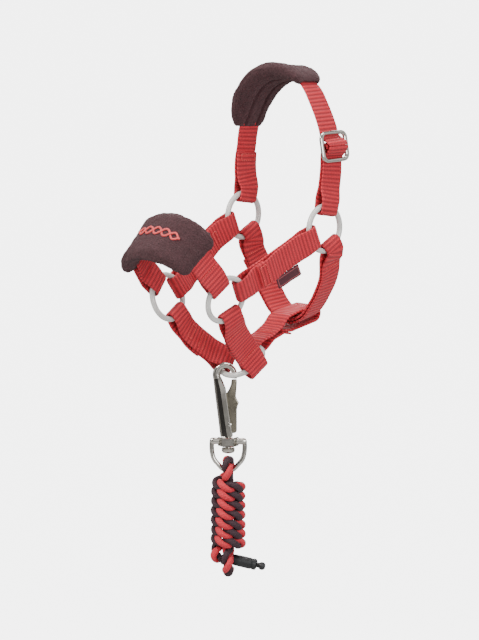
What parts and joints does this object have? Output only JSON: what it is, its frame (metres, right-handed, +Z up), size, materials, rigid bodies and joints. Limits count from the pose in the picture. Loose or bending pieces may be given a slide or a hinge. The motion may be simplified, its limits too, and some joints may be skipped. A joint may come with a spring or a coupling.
{
  "type": "miniature webbing headcollar with lead rope",
  "caption": "Miniature webbing headcollar with padded crown and noseband, round rings, an adjusting slider, and a twisted lead rope in a tied hank on a swivelling trigger snap.",
  "frame": {"origin": "underside of the crown pad at its top, where the headcollar rests on the poll", "axes": "+Z up; -Y is the pony's forward, over the nose; +X is the pony's left, the near side, where the slider is"},
  "size_m": [0.0464, 0.0904, 0.1841],
  "materials": {
    "crown_strap": "coral woven webbing",
    "crown_pad": "burgundy brown fleece",
    "crown_slider": "nickel plate",
    "upper_ring_near": "off-white coated ring",
    "upper_ring_far": "off-white coated ring",
    "nose_ring_near": "off-white coated ring",
    "nose_ring_far": "off-white coated ring",
    "chin_ring": "off-white coated ring",
    "cheek_strap_near": "coral woven webbing",
    "cheek_strap_far": "coral woven webbing",
    "woven_label": "dark burgundy woven tab",
    "noseband_strap": "coral woven webbing",
    "nose_pad": "burgundy brown fleece",
    "chin_strap_near": "coral woven webbing",
    "chin_strap_far": "coral woven webbing",
    "jowl_strap": "coral woven webbing",
    "throat_strap": "coral woven webbing",
    "snap_body": "nickel plate",
    "snap_trigger": "nickel plate",
    "trigger_pin": "nickel plate",
    "trigger_spring": "spring steel",
    "swivel_eye": "nickel plate",
    "rope_eye": "twisted cord, coral and burgundy",
    "rope_hank": "twisted cord, coral and burgundy",
    "rope_bight": "twisted cord, coral and burgundy",
    "rope_tail": "twisted cord, coral and burgundy",
    "rope_end_cap": "matt black moulded end"
  },
  "bodies": {
    "headcollar": {"crown_strap": "crown_strap", "crown_pad": "crown_pad", "cheek_strap_near": "cheek_strap_near", "cheek_strap_far": "cheek_strap_far", "noseband_strap": "noseband_strap", "nose_pad": "nose_pad", "chin_strap_near": "chin_strap_near", "chin_strap_far": "chin_strap_far", "jowl_strap": "jowl_strap", "throat_strap": "throat_strap"},
    "near_upper_ring": {"upper_ring_near": "upper_ring_near"},
    "far_upper_ring": {"upper_ring_far": "upper_ring_far"},
    "near_nose_ring": {"nose_ring_near": "nose_ring_near"},
    "far_nose_ring": {"nose_ring_far": "nose_ring_far"},
    "under_chin_ring": {"chin_ring": "chin_ring"},
    "slider": {"crown_slider": "crown_slider"},
    "label": {"woven_label": "woven_label"},
    "snap": {"snap_body": "snap_body", "trigger_pin": "trigger_pin"},
    "trigger": {"snap_trigger": "snap_trigger", "trigger_spring": "trigger_spring"},
    "swivel": {"swivel_eye": "swivel_eye"},
    "lead": {"rope_eye": "rope_eye", "rope_hank": "rope_hank", "rope_bight": "rope_bight", "rope_tail": "rope_tail", "rope_end_cap": "rope_end_cap"}
  },
  "joints": [
    {"name": "upper_ring_near_spin", "type": "hinge", "parent": "headcollar", "child": "near_upper_ring", "pos_m": [0.02, -0.0028, -0.0508], "axis": [1, 0, 0], "continuous": true},
    {"name": "upper_ring_far_spin", "type": "hinge", "parent": "headcollar", "child": "far_upper_ring", "pos_m": [-0.02, -0.0028, -0.0492], "axis": [1, 0, 0], "continuous": true},
    {"name": "nose_ring_near_spin", "type": "hinge", "parent": "headcollar", "child": "near_nose_ring", "pos_m": [0.0144, -0.0473, -0.0725], "axis": [0.9699, -0.08, -0.23], "continuous": true},
    {"name": "nose_ring_far_spin", "type": "hinge", "parent": "headcollar", "child": "far_nose_ring", "pos_m": [-0.0144, -0.0473, -0.0742], "axis": [0.9699, 0.08, 0.23], "continuous": true},
    {"name": "chin_ring_spin", "type": "hinge", "parent": "headcollar", "child": "under_chin_ring", "pos_m": [0, -0.0242, -0.098], "axis": [0, 0.5708, -0.8211], "continuous": true},
    {"name": "slider_slide", "type": "slide", "parent": "headcollar", "child": "slider", "axis": [-0.1731, -0.0118, 0.9848], "range_m": [-0.003, 0.004], "deforming": ["crown_strap"]},
    {"name": "label_flap", "type": "hinge", "parent": "headcollar", "child": "label", "pos_m": [0.01872, -0.02072, -0.06452], "axis": [-0.1218, -0.8937, -0.4319], "range_deg": [-30, 30]},
    {"name": "snap_swing", "type": "hinge", "parent": "headcollar", "child": "snap", "pos_m": [-0.00207, -0.03054, -0.10241], "axis": [-0.9659, 0.2125, 0.1477], "range_deg": [-15, 15]},
    {"name": "trigger_press", "type": "hinge", "parent": "snap", "child": "trigger", "pos_m": [-0.00077, -0.02945, -0.12041], "axis": [0.6428, -0.766, 0], "range_deg": [0, 15], "stiffness_Nm_per_rad": 0.003, "springref_deg": -17.19, "deforming": ["trigger_spring"]},
    {"name": "swivel_spin", "type": "hinge", "parent": "snap", "child": "swivel", "pos_m": [-0.0013, -0.0299, -0.12501], "axis": [0, 0, 1], "continuous": true},
    {"name": "rope_swing", "type": "hinge", "parent": "swivel", "child": "lead", "pos_m": [-0.0013, -0.0299, -0.13721], "axis": [0.766, 0.6428, 0], "range_deg": [-50, 50]}
  ]
}
